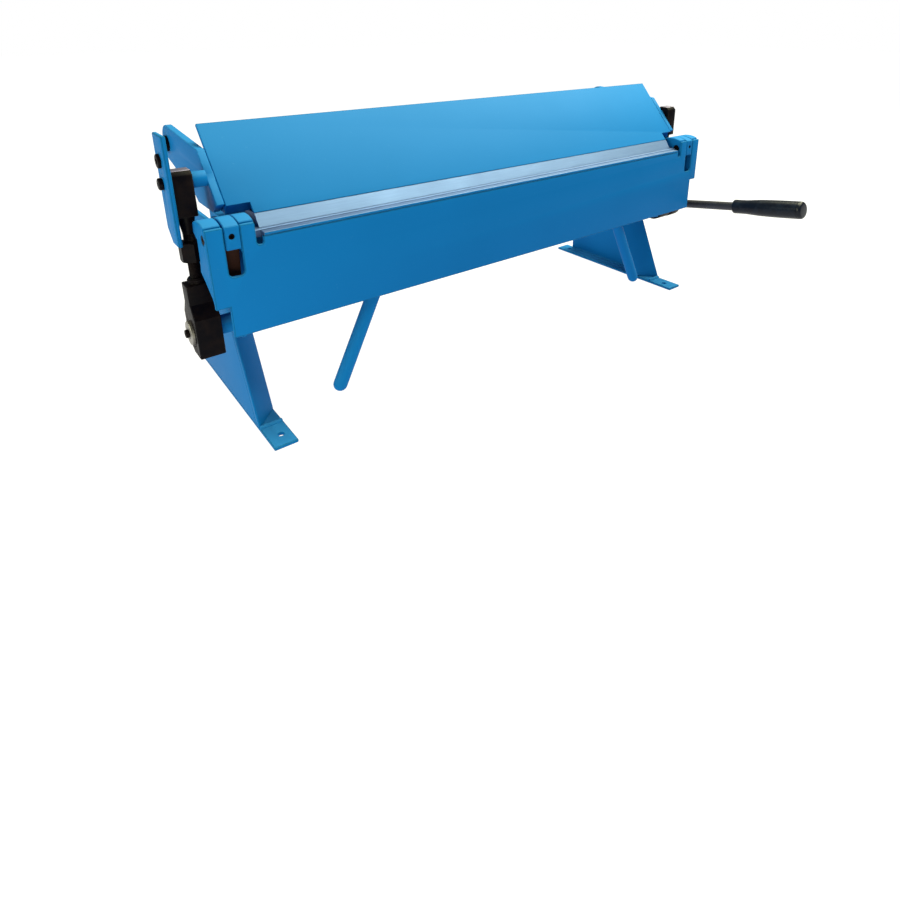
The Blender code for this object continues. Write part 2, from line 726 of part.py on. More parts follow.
def make_cover():
    """Sloping sheet over the clamp blade, narrower at its foot."""
    slope = Vector((COVER_TOP_Y - COVER_LOW_Y, COVER_TOP_Z - COVER_LOW_Z)).normalized()
    inward = Vector((slope.y, -slope.x)) * COVER_THICKNESS
    section = [
        (COVER_LOW_Y, COVER_LOW_Z),
        (COVER_TOP_Y, COVER_TOP_Z),
        (COVER_TOP_Y + inward.x, COVER_TOP_Z + inward.y),
        (cover_back_y(COVER_LOW_Z), COVER_LOW_Z),
    ]
    xs = from_end_to_end(COVER_REACH)
    cover = prism("clamp_cover", section, "x", xs, "clamp_beam", "blue_enamel")
    for side in SIDES:
        xs = both(side, (0, COVER_REACH + OVERRUN))
        ys = (COVER_LOW_Y - OVERRUN, COVER_TOP_Y)
        zs = (COVER_LOW_Z - OVERRUN, COVER_CUT_Z)
        cut(cover, box(side + "_cover_notch", xs, ys, zs, "clamp_beam", "blue_enamel", 0))


def make_clamp_blade():
    top = COVER_LOW_Z - GAP
    nose = (BEND_Y + CLAMP_SETBACK, BEND_Z + CLAMP_NOSE_GAP)
    section = [nose, (CLAMP_REAR_Y, nose[1]), (CLAMP_REAR_Y, top), (CLAMP_BEVEL_Y, top)]
    prism("clamp_blade", section, "x", from_end_to_end(0), "clamp_beam", "ground_steel", 0)


def make_clamp_box():
    low = COVER_LOW_Z
    high = low + BASE_THICKNESS
    ys = (cover_back_y(high) + BOX_GAP, BASE_REAR_Y)
    box("clamp_base", from_end_to_end(COVER_REACH), ys, (low, high), "clamp_beam", "blue_enamel")
    ys = (BASE_REAR_Y - WEB_THICKNESS, BASE_REAR_Y)
    zs = (high + GAP, cover_back_z(ys[0]) - BOX_GAP)
    box("clamp_web", from_end_to_end(WEB_REACH), ys, zs, "clamp_beam", "blue_enamel")


def arm_outline():
    outline = [(cover_y(ARM_NOSE_Z), ARM_NOSE_Z), (cover_y(ARM_BROW_Z), ARM_BROW_Z)]
    outline += arc(PIVOT_Y, PIVOT_Z, PIVOT_BOSS, *ARM_BOSS_ANGLES, BOSS_STEPS)
    outline += [
        (ARM_HEEL_Y, ARM_HEEL_Z),
        (ARM_LOW_REAR_Y, ARM_LOW_Z),
        (ARM_LOW_FRONT_Y, ARM_LOW_Z),
        (ARM_CHIN_Y, ARM_CHIN_Z),
    ]
    return outline


def make_arm(side):
    name = side + "_clamp_arm"
    xs = both(side, (ARM_INNER_X, ARM_OUTER_X))
    arm = prism(name, arm_outline(), "x", xs, "clamp_beam", "blue_enamel")
    bore_x(arm, name + "_pivot", PIVOT_RADIUS + PIN_CLEARANCE, PIVOT_Y, PIVOT_Z, xs, "clamp_beam")
    bore = LINK_PIN_RADIUS + PIN_CLEARANCE
    bore_x(arm, name + "_pin", bore, LINK_Y, LINK_PIN_Z, xs, "clamp_beam", SMALL_SEGMENTS)


def make_link_pin(side):
    """The headed pin from the arm through the link's head."""
    head = LINK_X[side] + CLEVIS_HALF_X + GAP
    if side == "left":
        head = CHEEK_OUTER_X + GAP
    steps = [
        (ARM_INNER_X + GAP, LINK_PIN_RADIUS),
        (head, LINK_PIN_RADIUS),
        (head, LINK_PIN_HEAD_RADIUS),
        (head + LINK_PIN_HEAD_LENGTH, LINK_PIN_HEAD_RADIUS),
    ]
    name = side + "_link_pin"
    stepped_x(name, side, steps, LINK_Y, LINK_PIN_Z, "clamp_beam", "black_oxide", SMALL_SEGMENTS)


def make_cheek():
    """The plate outside the left link, with its bolt and the collar between link and arm."""
    body = "clamp_beam"
    outline = [
        (CHEEK_FRONT_Y + CHEEK_LEAN, CHEEK_LOW_Z),
        (CHEEK_REAR_Y - CHEEK_CHAMFER, CHEEK_LOW_Z),
        (CHEEK_REAR_Y, CHEEK_LOW_Z + CHEEK_CHAMFER),
        (CHEEK_REAR_Y - CHEEK_LEAN, CHEEK_TOP_Z),
        (CHEEK_FRONT_Y, CHEEK_TOP_Z),
    ]
    xs = both("left", (CHEEK_INNER_X, CHEEK_OUTER_X))
    cheek = prism("left_cheek", outline, "x", xs, body, "blue_enamel")
    pin = LINK_PIN_RADIUS + PIN_CLEARANCE
    bore_x(cheek, "left_cheek_pin_hole", pin, LINK_Y, LINK_PIN_Z, xs, body, SMALL_SEGMENTS)
    bolt = CHEEK_BOLT_RADIUS + PIN_CLEARANCE
    bore_x(cheek, "left_cheek_bolt_hole", bolt, CHEEK_BOLT_Y, CHEEK_BOLT_Z, xs, body, SMALL_SEGMENTS)
    head = CHEEK_OUTER_X + GAP
    steps = [
        (CHEEK_BOLT_END_X, CHEEK_BOLT_RADIUS),
        (head, CHEEK_BOLT_RADIUS),
        (head, CHEEK_BOLT_HEAD_RADIUS),
        (head + CHEEK_BOLT_HEAD_LENGTH, CHEEK_BOLT_HEAD_RADIUS),
    ]
    name = "left_cheek_bolt"
    stepped_x(name, "left", steps, CHEEK_BOLT_Y, CHEEK_BOLT_Z, body, "black_oxide", SMALL_SEGMENTS)
    xs = both("left", (ARM_OUTER_X + GAP, LINK_X["left"] - CLEVIS_HALF_X - GAP))
    collar = bar_x("left_link_collar", COLLAR_RADIUS, LINK_Y, LINK_PIN_Z, xs, body, "blue_enamel")
    bore_x(collar, "left_link_collar_bore", pin, LINK_Y, LINK_PIN_Z, xs, body, SMALL_SEGMENTS)


# Links with their adjusting rods


def link_span(side, half):
    return both(side, (LINK_X[side] - half, LINK_X[side] + half))


def block_bore_centre():
    """Where the eccentric runs in the block when the machine is clamped."""
    y = SHAFT_Y + THROW * math.cos(THROW_ANGLE) - BLOCK_LEAD
    z = SHAFT_Z + THROW * math.sin(THROW_ANGLE)
    return y, z


def rod_hole(piece, side, span, body):
    """Cuts the hole that an end of the link's rod stands in."""
    radius = LINK_ROD_RADIUS + PIN_CLEARANCE
    start = Vector((across(side, LINK_X[side]), LINK_Y, 0))
    name = piece.name + "_rod_hole"
    hole = [(min(span), radius), (max(span), radius)]
    cut(piece, turned(name, hole, start, Vector((0, 0, 1)), body, "ground_steel", SMALL_SEGMENTS))


def make_clevis(side):
    body = side + "_link"
    low, high = CLEVIS_Z
    front, rear = LINK_Y - CLEVIS_HALF_Y, LINK_Y + CLEVIS_HALF_Y
    outline = [
        (front, low),
        (rear, low),
        (rear, high - CLEVIS_CHAMFER),
        (rear - CLEVIS_CHAMFER, high),
        (front + CLEVIS_CHAMFER, high),
        (front, high - CLEVIS_CHAMFER),
    ]
    name = side + "_link_head"
    xs = link_span(side, CLEVIS_HALF_X)
    head = prism(name, outline, "x", xs, body, "black_oxide")
    bore = LINK_PIN_RADIUS + PIN_CLEARANCE
    bore_x(head, name + "_pin_bore", bore, LINK_Y, LINK_PIN_Z, xs, body, SMALL_SEGMENTS)
    rod_hole(head, side, (low - OVERRUN, LINK_ROD_Z[1] + GAP), body)


def make_link_rod(side):
    body = side + "_link"
    start = Vector((across(side, LINK_X[side]), LINK_Y, 0))
    up = Vector((0, 0, 1))
    rod = [(z, LINK_ROD_RADIUS) for z in LINK_ROD_Z]
    turned(side + "_link_rod", rod, start, up, body, "black_oxide", SMALL_SEGMENTS)
    name = side + "_link_nut"
    nut = turned(name, [(z, LINK_NUT_RADIUS) for z in LINK_NUT_Z], start, up, body, "black_oxide", HEXAGON)
    rod_hole(nut, side, (LINK_NUT_Z[0] - OVERRUN, LINK_NUT_Z[1] + OVERRUN), body)


def make_block(side):
    """The block that the eccentric turns in, with a neck for the rod; the right one is round below."""
    body = side + "_link"
    name = side + "_link_block"
    if side == "left":
        outline = [
            (BLOCK_FRONT_Y, BLOCK_LOW_Z),
            (BLOCK_REAR_Y - BLOCK_CHAMFER, BLOCK_LOW_Z),
            (BLOCK_REAR_Y, BLOCK_CHAMFER_Z),
        ]
    else:
        outline = arc(SHAFT_Y, SHAFT_Z, BLOCK_ROUND, 180, 360, BOSS_STEPS)
    outline += [
        (BLOCK_REAR_Y, BLOCK_SHOULDER_Z),
        (LINK_Y + NECK_HALF_Y, BLOCK_NECK_Z),
        (LINK_Y + NECK_HALF_Y, NECK_TOP_Z),
        (LINK_Y - NECK_HALF_Y, NECK_TOP_Z),
        (LINK_Y - NECK_HALF_Y, BLOCK_NECK_Z),
        (BLOCK_FRONT_Y, BLOCK_SHOULDER_Z),
    ]
    xs = link_span(side, BLOCK_HALF_X)
    block = prism(name, outline, "x", xs, body, "black_oxide")
    start = Vector((across(side, LINK_X[side]), LINK_Y, NECK_TOP_Z - OVERRUN))
    boss = [(0, NECK_BOSS_RADIUS), (NECK_BOSS_TOP_Z - NECK_TOP_Z + OVERRUN, NECK_BOSS_RADIUS)]
    cut(block, turned(name + "_boss", boss, start, Vector((0, 0, 1)), body, "black_oxide"), "UNION")
    y, z = block_bore_centre()
    bore_x(block, name + "_bore", ECCENTRIC_RADIUS + ECCENTRIC_CLEARANCE, y, z, xs, body)
    rod_hole(block, side, (LINK_ROD_Z[0] - GAP, NECK_BOSS_TOP_Z + OVERRUN), body)


# Clamp shaft, eccentrics and lever


def make_shaft():
    left = across("left", LINK_X["left"] + BLOCK_HALF_X)
    right = across("right", LEVER_X + HUB_HALF_X + SHAFT_PROUD)
    body = "clamp_shaft"
    shaft = bar_x("clamp_shaft", SHAFT_RADIUS, SHAFT_Y, SHAFT_Z, (left, right), body, "ground_steel")
    tapping = (left - OVERRUN, left + END_SCREW_DEPTH + GAP)
    radius = END_SCREW_RADIUS + PIN_CLEARANCE
    cut(shaft, bar_x("clamp_shaft_tapping", radius, SHAFT_Y, SHAFT_Z, tapping, body, "ground_steel"))


def shaft_ring(name, radius, xs, segments=ROUND_SEGMENTS, y=SHAFT_Y, z=SHAFT_Z):
    """A ring fixed on the clamp shaft."""
    body = "clamp_shaft"
    ring = bar_x(name, radius, y, z, xs, body, "black_oxide", segments)
    return bore_x(ring, name + "_bore", SHAFT_RADIUS + PIN_CLEARANCE, SHAFT_Y, SHAFT_Z, xs, body)


def make_eccentric(side):
    y = SHAFT_Y + THROW * math.cos(THROW_ANGLE)
    z = SHAFT_Z + THROW * math.sin(THROW_ANGLE)
    shaft_ring(side + "_eccentric", ECCENTRIC_RADIUS, link_span(side, BLOCK_HALF_X), y=y, z=z)


def make_shaft_end():
    """Washer and screw that keep the left link on."""
    body = "clamp_shaft"
    shaft_end = LINK_X["left"] + BLOCK_HALF_X
    face = shaft_end + GAP
    xs = both("left", (face, face + WASHER_THICKNESS))
    washer = bar_x("left_shaft_washer", WASHER_RADIUS, SHAFT_Y, SHAFT_Z, xs, body, "ground_steel")
    bore = END_SCREW_RADIUS + PIN_CLEARANCE
    bore_x(washer, "left_shaft_washer_bore", bore, SHAFT_Y, SHAFT_Z, xs, body, SMALL_SEGMENTS)
    head = face + WASHER_THICKNESS + GAP
    steps = [
        (shaft_end - END_SCREW_DEPTH, END_SCREW_RADIUS),
        (head, END_SCREW_RADIUS),
        (head, END_SCREW_HEAD_RADIUS),
        (head + END_SCREW_HEAD_LENGTH, END_SCREW_HEAD_RADIUS),
    ]
    stepped_x("left_shaft_screw", "left", steps, SHAFT_Y, SHAFT_Z, body, "black_oxide", SMALL_SEGMENTS)


def make_lever():
    body = "clamp_shaft"
    start = Vector((across("right", LEVER_X), SHAFT_Y, SHAFT_Z))
    run = Vector((0, -math.cos(LEVER_ANGLE), math.sin(LEVER_ANGLE)))
    hub = shaft_ring("lever_hub", HUB_RADIUS, both("right", (LEVER_X - HUB_HALF_X, LEVER_X + HUB_HALF_X)))
    near, far = LEVER_ROD_SPAN
    rod = [(near, LEVER_ROD_RADIUS), (far, LEVER_ROD_RADIUS)]
    turned("lever_rod", rod, start, run, body, "black_oxide")
    hole = LEVER_ROD_RADIUS + PIN_CLEARANCE
    socket = [(0, hole), (HUB_RADIUS + OVERRUN, hole)]
    cut(hub, turned("lever_hub_socket", socket, start, run, body, "black_oxide"))
    grip = turned("lever_grip", grip_profile(), start, run, body, "black_plastic")
    deep = GRIP_SPAN[0] + GRIP_BORE_DEPTH
    bore = [(GRIP_SPAN[0] - OVERRUN, hole), (deep, hole)]
    cut(grip, turned("lever_grip_bore", bore, start, run, body, "black_plastic"))


def grip_profile():
    """A slightly swelling grip with rounded ends."""
    near, far = GRIP_SPAN
    profile = [(near, GRIP_RADIUS * GRIP_SWELL_SHARES[0][1] - GRIP_ROUND)]
    for share, swell in GRIP_SWELL_SHARES:
        profile.append((near + (far - near) * share, GRIP_RADIUS * swell))
    thick = GRIP_RADIUS * GRIP_END_SHARE
    for step in range(CORNER_STEPS + 1):
        turn = math.pi / 2 * step / CORNER_STEPS
        along = far - GRIP_ROUND + GRIP_ROUND * math.sin(turn)
        profile.append((along, thick - GRIP_ROUND + GRIP_ROUND * math.cos(turn)))
    return profile


def main():
    clear_scene()
    make_bodies()
    make_paints()
    make_bed()
    make_apron_plate()
    make_bending_bar()
    make_cover()
    make_clamp_blade()
    make_clamp_box()
    make_cheek()
    make_shaft()
    make_shaft_end()
    make_lever()
    for side in SIDES:
        make_foot(side)
        make_side_plate(side)
        make_leg_flange(side)
        make_bush(side)
        make_pivot(side)
        make_fixed_lug(side)
        make_hinge_pin(side)
        make_apron_lugs(side)
        make_handle(side)
        make_arm(side)
        make_link_pin(side)
        make_clevis(side)
        make_link_rod(side)
        make_block(side)
        make_eccentric(side)


main()
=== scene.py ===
"""Looks of the bench bender for sheet metal: enamel, ground steel, black oxide and moulded plastic."""

import json
import math

import bpy
from mathutils import Matrix, Vector

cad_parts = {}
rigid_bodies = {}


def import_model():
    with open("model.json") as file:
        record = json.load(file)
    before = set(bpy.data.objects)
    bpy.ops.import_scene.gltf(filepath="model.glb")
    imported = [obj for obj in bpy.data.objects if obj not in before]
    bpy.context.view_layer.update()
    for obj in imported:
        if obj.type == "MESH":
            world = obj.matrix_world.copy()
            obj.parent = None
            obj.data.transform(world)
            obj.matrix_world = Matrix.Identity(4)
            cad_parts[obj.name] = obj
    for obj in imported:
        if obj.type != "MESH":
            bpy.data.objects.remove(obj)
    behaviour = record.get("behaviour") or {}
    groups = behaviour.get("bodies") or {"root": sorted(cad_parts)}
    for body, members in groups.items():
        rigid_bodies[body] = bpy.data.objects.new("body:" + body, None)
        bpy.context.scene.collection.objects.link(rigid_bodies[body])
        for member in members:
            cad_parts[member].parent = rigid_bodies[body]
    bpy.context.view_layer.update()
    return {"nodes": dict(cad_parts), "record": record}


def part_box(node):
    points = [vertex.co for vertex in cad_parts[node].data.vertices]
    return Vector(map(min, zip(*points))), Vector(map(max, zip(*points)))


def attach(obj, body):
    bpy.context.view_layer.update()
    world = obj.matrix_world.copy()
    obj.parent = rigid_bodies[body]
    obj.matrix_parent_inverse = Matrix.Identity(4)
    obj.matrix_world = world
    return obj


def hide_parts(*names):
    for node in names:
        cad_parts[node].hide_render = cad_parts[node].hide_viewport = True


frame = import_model()
nodes = frame["nodes"]

MM = 0.001
SIDES = {"left": -1, "right": 1}
CORNER_ANGLE = math.radians(32)
SMOOTH_ANGLE = math.radians(35)

# Camera of the photograph, in the part's frame
CAMERA_PLACE = Vector((-0.8002, -0.9472, 0.6462))
CAMERA_PITCH = math.radians(70.15)
CAMERA_YAW = math.radians(-38.77)
CAMERA_LENS = 25.35
CAMERA_SENSOR = 36
CAMERA_SHIFT = (-0.0444, -0.2222)

# Colours, as sRGB
ENAMEL_BLUE = "#0D67AE"
ENAMEL_DEEP = "#0C62A6"
# Painted edge shade: the enamel's edges are painted this darker blue
ENAMEL_EDGE_SHADE = "#0C5078"
# Pale dust specks, and the painted sheen that makes faces pointing up paler
ENAMEL_DUST_AND_SHEEN = "#74B0D2"
# Painted shade inside the apron's slots, dark brown
SLOT_SHADE_BROWN = "#2B1A16"
STEEL_LIGHT = "#5F79A6"
STEEL_DARK = "#4F668D"
# Painted highlight on the link heads' tops, pale lilac steel
TOP_HIGHLIGHT_LIGHT = "#8A86A0"
TOP_HIGHLIGHT_DARK = "#5E5B72"
WASHER_LIGHT = "#A2A09F"
WASHER_DARK = "#6A6867"
OXIDE_BLACK = "#07060C"
OXIDE_BROWN = "#130D0F"
OXIDE_WORN = "#1D1B1D"
PLASTIC_BLACK = "#090F1C"
PLASTIC_SCUFF = "#101A2A"
BLUED_STEEL = "#3A3D49"
BLUED_BROWN = "#2B2A30"
FLOOR_GREY = "#5A5A5A"

# Lights: place, what it is aimed at, size, power in watts
OVERHEAD = ((1.3, -0.15, 2.8), (0, 0, 0.3), 3.2, 305)
SIDE = ((-3.0, 0.3, 1.5), (0, 0, 0.3), 2.0, 68)
NEAR = ((-0.9, -0.62, 0.1), (-0.48, 0, 0.14), 0.4, 3.4)
# The lamps are warm, and the paper below gives a neutral light
LAMP_TINT = (1.0, 0.98, 0.66)
AMBIENT = 0.1
FLOOR_SIZE = 30

# Where the apron ends at the back; behind it near the hinges, low down, the fixed lugs get painted shade
APRON_BACK_Y = -0.049
SLOT_SHADE_TOP_Z = 0.340
# Below this the cover's edges get no painted edge shade
COVER_EDGE_SHADE_LOW_Z = 0.462

# How far the clamp lever's rod rises above level
LEVER_RISE = math.radians(9.4)

# Weld beads: radius, and the length of one scale
WELD_RADIUS = 2.6 * MM
WELD_SCALE = 3.6 * MM

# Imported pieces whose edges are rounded, with the radius: folded or sawn sheet, cast and machined steel
SHEET_EDGE = 1.1 * MM
BLOCK_EDGE = 1.2 * MM
BAR_EDGE = 0.4 * MM
SHEET_NODES = (
    "clamp_cover", "apron_plate", "left_cheek", "left_clamp_arm", "right_clamp_arm", "left_foot_plate",
    "right_foot_plate", "left_side_plate", "right_side_plate", "left_leg_flange", "right_leg_flange",
    "left_inner_lug", "right_inner_lug", "left_outer_lug", "right_outer_lug", "left_fixed_lug",
    "right_fixed_lug", "apron_stiffener", "bed_beam",
)
BLOCK_NODES = (
    "left_link_head", "right_link_head", "left_link_block", "right_link_block", "lever_hub", "left_link_collar",
)


def linear(code):
    """The linear colour of an sRGB hex value."""
    parts = [int(code[i : i + 2], 16) / 255 for i in (1, 3, 5)]
    return [c / 12.92 if c <= 0.04045 else ((c + 0.055) / 1.055) ** 2.4 for c in parts] + [1]


def per_metre(size_mm):
    """Noise scale whose features are about this many millimetres wide."""
    return 1 / (size_mm * MM)


def add(tree, kind, values=None, links=None, **settings):
    """Adds a node, sets it and its sockets, and links other nodes' outputs to it."""
    made = tree.nodes.new(kind)
    for name, value in settings.items():
        setattr(made, name, value)
    for socket, value in (values or {}).items():
        made.inputs[socket].default_value = value
    for socket, source in (links or {}).items():
        tree.links.new(source, made.inputs[socket])
    return made


def new_material(name, **surface):
    """A Principled material and its node tree; what is the same all over is set on the shader."""
    material = bpy.data.materials.new(name)
    material.use_nodes = True
    tree = material.node_tree
    shader = tree.nodes["Principled BSDF"]
    for socket, value in surface.items():
        shader.inputs[socket.replace("_", " ")].default_value = value
    return material, tree, shader


def enamel():
    """Alkyd enamel, sprayed and air dried over sheet steel: even blue, semi-gloss, a slight orange peel.

    Pale dust specks lie here and there, and faces that point up are painted paler, a painted sheen.
    The edges are painted darker, a painted edge shade broken up by noise, and the fixed lugs are painted
    dark brown where they run inside the apron's slots, a painted shade. The index is low, because the sides
    are seen at a flat angle over a white floor and would pale.
    """
    material, tree, shader = new_material("sky_blue_enamel", IOR=1.09)
    place = add(tree, "ShaderNodeTexCoord").outputs["Object"]
    cloud = add(tree, "ShaderNodeTexNoise", {"Scale": per_metre(160), "Detail": 3}, {"Vector": place})
    tone = add(
        tree, "ShaderNodeMix", {"A": linear(ENAMEL_BLUE), "B": linear(ENAMEL_DEEP)},
        {"Factor": cloud.outputs["Fac"]}, data_type="RGBA",
    )
    speck = add(
        tree, "ShaderNodeTexNoise", {"Scale": per_metre(7), "Detail": 6, "Roughness": 0.7}, {"Vector": place}
    )
    dust = add(
        tree, "ShaderNodeMapRange", {"From Min": 0.64, "From Max": 0.82, "To Max": 0.16},
        {"Value": speck.outputs["Fac"]},
    )
    dusty = add(
        tree, "ShaderNodeMix", {"B": linear(ENAMEL_DUST_AND_SHEEN)},
        {"Factor": dust.outputs["Result"], "A": tone.outputs["Result"]}, data_type="RGBA",
    )
    # Faces that point up are painted paler: a painted sheen
    facing = add(tree, "ShaderNodeTexCoord").outputs["Normal"]
    upward = add(tree, "ShaderNodeSeparateXYZ", links={"Vector": facing})
    upward_sheen = add(
        tree, "ShaderNodeMapRange", {"From Min": 0.3, "From Max": 0.75, "To Max": 0.09},
        {"Value": upward.outputs["Z"]},
    )
    sheened = add(
        tree, "ShaderNodeMix", {"B": linear(ENAMEL_DUST_AND_SHEEN)},
        {"Factor": upward_sheen.outputs["Result"], "A": dusty.outputs["Result"]}, data_type="RGBA",
    )
    # The marked edges are painted darker, a painted edge shade, broken up by the speck noise
    edge = add(tree, "ShaderNodeAttribute", attribute_name="rubbed")
    edge_shade_breakup = add(
        tree, "ShaderNodeMapRange", {"From Min": 0.25, "From Max": 0.6, "To Min": 0.55, "To Max": 1.0},
        {"Value": speck.outputs["Fac"]},
    )
    edge_shade = add(
        tree, "ShaderNodeMath", links={0: edge.outputs["Fac"], 1: edge_shade_breakup.outputs["Result"]}, operation="MULTIPLY"
    )
    edge_toned = add(
        tree, "ShaderNodeMix", {"B": linear(ENAMEL_EDGE_SHADE)},
        {"Factor": edge_shade.outputs["Value"], "A": sheened.outputs["Result"]}, data_type="RGBA",
    )
    axes = add(tree, "ShaderNodeSeparateXYZ", links={"Vector": place})
    # Behind the apron and low down, the fixed lugs are painted dark brown: painted shade in the slots
    behind = add(
        tree, "ShaderNodeMapRange", {"From Min": APRON_BACK_Y - MM, "From Max": APRON_BACK_Y + 2 * MM},
        {"Value": axes.outputs["Y"]},
    )
    below = add(
        tree, "ShaderNodeMapRange", {"From Min": SLOT_SHADE_TOP_Z, "From Max": SLOT_SHADE_TOP_Z - 2 * MM},
        {"Value": axes.outputs["Z"]},
    )
    slot_lug = add(tree, "ShaderNodeAttribute", attribute_name="greasy")
    within = add(
        tree, "ShaderNodeMath", links={0: behind.outputs["Result"], 1: below.outputs["Result"]}, operation="MULTIPLY"
    )
    slot_shade = add(
        tree, "ShaderNodeMath", links={0: within.outputs["Value"], 1: slot_lug.outputs["Fac"]}, operation="MULTIPLY"
    )
    coloured = add(
        tree, "ShaderNodeMix", {"B": linear(SLOT_SHADE_BROWN)},
        {"Factor": slot_shade.outputs["Value"], "A": edge_toned.outputs["Result"]}, data_type="RGBA",
    )
    tree.links.new(coloured.outputs["Result"], shader.inputs["Base Color"])
    sheen = add(tree, "ShaderNodeMapRange", {"To Min": 0.4, "To Max": 0.56}, {"Value": cloud.outputs["Fac"]})
    tree.links.new(sheen.outputs["Result"], shader.inputs["Roughness"])
    peel = add(tree, "ShaderNodeTexNoise", {"Scale": per_metre(2.5), "Detail": 2}, {"Vector": place})
    bump = add(tree, "ShaderNodeBump", {"Strength": 0.12, "Distance": 0.1 * MM}, {"Height": peel.outputs["Fac"]})
    tree.links.new(bump.outputs["Normal"], shader.inputs["Normal"])
    return material


def ground_steel(name, light, dark):
    """Bare steel, ground, sawn or turned: pale, with fine scratches along the beam, drawn coarser to show."""
    material, tree, shader = new_material(name, Metallic=0.85)
    place = add(tree, "ShaderNodeTexCoord").outputs["Object"]
    stretch = add(tree, "ShaderNodeMapping", {"Scale": (0.02, 1, 1)}, {"Vector": place})
    grain = add(
        tree, "ShaderNodeTexNoise", {"Scale": per_metre(1.0), "Detail": 4}, {"Vector": stretch.outputs["Vector"]}
    )
    cloud = add(tree, "ShaderNodeTexNoise", {"Scale": per_metre(60), "Detail": 3}, {"Vector": place})
    tone = add(
        tree, "ShaderNodeMix", {"A": linear(light), "B": linear(dark)},
        {"Factor": grain.outputs["Fac"]}, data_type="RGBA",
    )
    tree.links.new(tone.outputs["Result"], shader.inputs["Base Color"])
    sheen = add(tree, "ShaderNodeMapRange", {"To Min": 0.4, "To Max": 0.62}, {"Value": cloud.outputs["Fac"]})
    tree.links.new(sheen.outputs["Result"], shader.inputs["Roughness"])
    bump = add(tree, "ShaderNodeBump", {"Strength": 0.25, "Distance": 0.05 * MM}, {"Height": grain.outputs["Fac"]})
    tree.links.new(bump.outputs["Normal"], shader.inputs["Normal"])
    return material


def black_oxide():
    """Machined steel, hot blacked and oiled: near black, brown in patches, greyer along the edges."""
    material, tree, shader = new_material("oiled_black_oxide", IOR=1.12)
    place = add(tree, "ShaderNodeTexCoord").outputs["Object"]
    patch = add(tree, "ShaderNodeTexNoise", {"Scale": per_metre(20), "Detail": 4}, {"Vector": place})
    brown = add(tree, "ShaderNodeMapRange", {"From Min": 0.42, "From Max": 0.66}, {"Value": patch.outputs["Fac"]})
    tone = add(
        tree, "ShaderNodeMix", {"A": linear(OXIDE_BLACK), "B": linear(OXIDE_BROWN)},
        {"Factor": brown.outputs["Result"]}, data_type="RGBA",
    )
    edge = add(tree, "ShaderNodeAttribute", attribute_name="rubbed")
    edge_toned = add(
        tree, "ShaderNodeMix", {"B": linear(OXIDE_WORN)},
        {"Factor": edge.outputs["Fac"], "A": tone.outputs["Result"]}, data_type="RGBA",
    )
    tree.links.new(edge_toned.outputs["Result"], shader.inputs["Base Color"])
    sheen = add(tree, "ShaderNodeMapRange", {"To Min": 0.3, "To Max": 0.55}, {"Value": patch.outputs["Fac"]})
    tree.links.new(sheen.outputs["Result"], shader.inputs["Roughness"])
    turning = add(tree, "ShaderNodeTexNoise", {"Scale": per_metre(1.5), "Detail": 3}, {"Vector": place})
    bump = add(tree, "ShaderNodeBump", {"Strength": 0.3, "Distance": 0.1 * MM}, {"Height": turning.outputs["Fac"]})
    tree.links.new(bump.outputs["Normal"], shader.inputs["Normal"])
    return material


def moulded_plastic():
    """Phenolic grip, compression moulded: deep black with a soft shine and a fine grain, a little scuffed."""
    material, tree, shader = new_material("moulded_black_phenolic", IOR=1.28)
    place = add(tree, "ShaderNodeTexCoord").outputs["Object"]
    scuff = add(tree, "ShaderNodeTexNoise", {"Scale": per_metre(14), "Detail": 5}, {"Vector": place})
    mask = add(tree, "ShaderNodeMapRange", {"From Min": 0.5, "From Max": 0.75}, {"Value": scuff.outputs["Fac"]})
    tone = add(
        tree, "ShaderNodeMix", {"A": linear(PLASTIC_BLACK), "B": linear(PLASTIC_SCUFF)},
        {"Factor": mask.outputs["Result"]}, data_type="RGBA",
    )
    tree.links.new(tone.outputs["Result"], shader.inputs["Base Color"])
    sheen = add(tree, "ShaderNodeMapRange", {"To Min": 0.25, "To Max": 0.4}, {"Value": scuff.outputs["Fac"]})
    tree.links.new(sheen.outputs["Result"], shader.inputs["Roughness"])
    grain = add(tree, "ShaderNodeTexNoise", {"Scale": per_metre(1), "Detail": 2}, {"Vector": place})
    bump = add(tree, "ShaderNodeBump", {"Strength": 0.1, "Distance": 0.05 * MM}, {"Height": grain.outputs["Fac"]})
    tree.links.new(bump.outputs["Normal"], shader.inputs["Normal"])
    return material


def blued_steel():
    """Turned bar, blued: dark grey with a soft metal shine and fine rings from the lathe, drawn coarser to show."""
    material, tree, shader = new_material("blued_turned_bar", Metallic=0.6)
    place = add(tree, "ShaderNodeTexCoord").outputs["Object"]
    rings = add(tree, "ShaderNodeMapping", {"Scale": (0.05, 1, 0.05)}, {"Vector": place})
    grain = add(
        tree, "ShaderNodeTexNoise", {"Scale": per_metre(1.2), "Detail": 3}, {"Vector": rings.outputs["Vector"]}
    )
    cloud = add(tree, "ShaderNodeTexNoise", {"Scale": per_metre(25), "Detail": 3}, {"Vector": place})
    tone = add(
        tree, "ShaderNodeMix", {"A": linear(BLUED_STEEL), "B": linear(BLUED_BROWN)},
        {"Factor": cloud.outputs["Fac"]}, data_type="RGBA",
    )
    tree.links.new(tone.outputs["Result"], shader.inputs["Base Color"])
    sheen = add(tree, "ShaderNodeMapRange", {"To Min": 0.32, "To Max": 0.5}, {"Value": grain.outputs["Fac"]})
    tree.links.new(sheen.outputs["Result"], shader.inputs["Roughness"])
    bump = add(tree, "ShaderNodeBump", {"Strength": 0.2, "Distance": 0.05 * MM}, {"Height": grain.outputs["Fac"]})
    tree.links.new(bump.outputs["Normal"], shader.inputs["Normal"])
    return material


